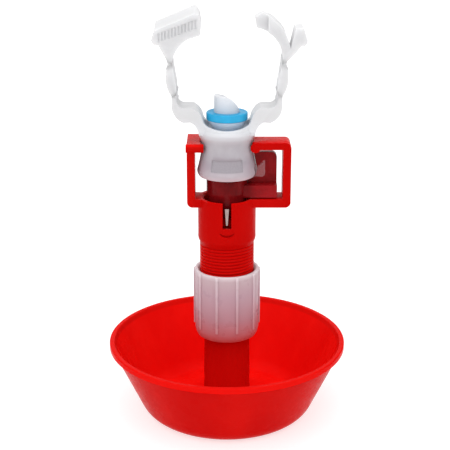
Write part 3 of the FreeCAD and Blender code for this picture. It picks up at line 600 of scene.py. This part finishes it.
def finish_socket():
    """The socket, with sharp panel edges and the thin tab in its own clearer material."""
    def on_panel(point):
        return point.y < -7.0 * MM and 95.0 * MM < point.z < 100.2 * MM

    def on_tab(point):
        return point.x > 10.2 * MM and -3.8 * MM < point.y < -2.4 * MM and point.z < 98.5 * MM

    shell = rounded_copy("saddle_socket", 0.3 * MM, socket_plastic(), on_panel, 0.05)
    shell.data.materials.append(tab_plastic())
    for face in shell.data.polygons:
        if on_tab(face.center):
            face.material_index = 1


def tip_block_top(bm):
    """Tip the top of the toothed block, so that it rises towards the back."""
    top = {vertex for face in bm.faces
           if face.normal.z > 0.8 and face.calc_center_median().z > BLOCK_TOP_HEIGHT
           for vertex in face.verts}
    for vertex in top:
        vertex.co.z += BLOCK_TOP_SLOPE * vertex.co.y


def lengthen_tip(bm):
    """Draw the pin's tip down towards the foot of the tube's slot."""
    for vertex in bm.verts:
        if vertex.co.z < PIN_TIP_HEIGHT:
            vertex.co.z -= PIN_TIP_DROP


def coil(name, bottom, top, turns, material):
    """A length of round wire coiled round Z from bottom to top."""
    count = SPRING_STEPS * turns
    rings = []
    for step in range(count + 1):
        angle = 2.0 * math.pi * step / SPRING_STEPS
        out = Vector((math.cos(angle), math.sin(angle), 0.0))
        centre = out * SPRING_RADIUS + Vector((0.0, 0.0, bottom + (top - bottom) * step / count))
        rings.append([])
        for index in range(SPRING_WIRE_SIDES):
            turn = 2.0 * math.pi * index / SPRING_WIRE_SIDES
            offset = out * math.cos(turn) + Vector((0.0, 0.0, math.sin(turn)))
            rings[-1].append(centre + offset * SPRING_WIRE_RADIUS)
    return bending_piece(name, tube_mesh(name, rings, material))


def make_spring(material):
    """The level spring in two lengths, in place of the CAD spring."""
    bottom, top = 41.1 * MM, 66.4 * MM
    middle = (bottom + top) / 2.0
    low = coil("spring_lower_half", bottom, middle, 4, material)
    coil("spring_upper_half", middle, top, 4, material)
    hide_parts("level_spring")


def lower_chisel(bm):
    """Curve the spout's slanted mouth down to the seal ring on its low side."""
    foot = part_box("seal_ring")[1][2] + 0.1 * MM
    curve_start, curve_length = -1.4 * MM, 6.0 * MM
    for vertex in bm.verts:
        if vertex.co.z > foot:
            way = min(1.0, max(0.0, (vertex.co.x - curve_start) / curve_length))
            vertex.co.z = foot + (vertex.co.z - foot) * math.sqrt(1.0 - 0.97 * way * way)


def film_hinge(name, side, place, section, material):
    """Thin web that joins two lengths of a clip arm at their joint."""
    low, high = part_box("left_link")
    half = (high[1] - low[1]) / 2.0 - 0.04 * MM
    edge = 0.4 * MM
    centre = sum(dx for dx, dz in section) / len(section)
    rings = []
    for y, width in ((-half, 0.7), (edge - half, 1.0), (0.0, 1.0), (half - edge, 1.0), (half, 0.7)):
        rings.append([])
        for dx, dz in section:
            x = place[0] + (centre + (dx - centre) * width) * MM
            rings[-1].append((side * x, y, place[1] + dz * MM))
    return bending_piece(name, tube_mesh(name, rings, material))


# Outlines of the webs round their hinge axis, as (away from the middle, up) in millimetres.
LOWER_WEB = [(-1.9, -1.8), (-1.55, -0.8), (-1.4, 0.0), (-1.55, 0.8), (-1.9, 1.8),
             (0.1, 1.8), (0.35, 0.9), (0.4, 0.0), (0.35, -0.9), (0.1, -1.8)]
UPPER_WEB = [(-0.3, -1.8), (-0.4, -0.9), (-0.4, 0.0), (-0.3, 0.9), (-0.1, 1.8),
             (1.9, 1.8), (1.55, 0.8), (1.35, 0.0), (1.55, -0.8), (2.0, -1.8)]


def make_film_hinges(material):
    """The four webs, a lower and an upper one in each arm."""
    for side, word in ((-1.0, "left"), (1.0, "right")):
        film_hinge(f"{word}_lower_web", side, (18.95 * MM, 121.5 * MM), LOWER_WEB,
                   material)
        film_hinge(f"{word}_upper_web", side, (19.15 * MM, 133.0 * MM), UPPER_WEB,
                   material)


def finish_cad_nodes():
    """Give every CAD node its material, or a copy with rounded edges in its place."""
    steel = turned_steel()
    rubber = dark_rubber()
    spout = spout_plastic()
    white = white_plastic()
    # Painted shade on the side faces of the hanger and column; the bowl gets painted light on faces
    # that look up, painted shade on those that look down and on its rim band.
    red_shaded_sides = red_plastic("red_plastic_shaded_sides", 1.0, 0.68, 0.3, 0.9)
    finish_node("bowl", red_plastic("bowl_plastic", 1.15, 0.76, -0.3, 0.2, BOWL_RIM_SHADE))
    for node in ("column", "column_head"):
        finish_node(node, red_shaded_sides)
    for node in ("valve_seat", "valve_ball", "spring_washer", "inlet_filter"):
        finish_node(node, steel)
    make_spring(steel)
    rounded_copy("trigger_pin", 0.1 * MM, plated_pin(), reshape=lengthen_tip)
    for node in ("seat_seal", "body_o_ring"):
        finish_node(node, rubber)
    finish_node("ball_seat", spout)
    finish_node("seal_ring", blue_rubber())
    rounded_copy("inlet_spout", 0.2 * MM, spout, reshape=lower_chisel)
    for node in ("left_link", "right_link", "right_jaw"):
        rounded_copy(node, 0.55 * MM, white)
    rounded_copy("left_jaw", 0.55 * MM, white, reshape=tip_block_top)
    make_film_hinges(white)
    finish_socket()
    rounded_copy("adjusting_nut", 0.2 * MM, nut_plastic())
    rounded_copy("valve_body", 0.2 * MM, maroon_plastic())
    rounded_copy("hanger_frame", 0.3 * MM, red_shaded_sides,
                 keep_sharp=lambda point: point.z < THREAD_TOP)


make_camera()
make_stage()
finish_cad_nodes()
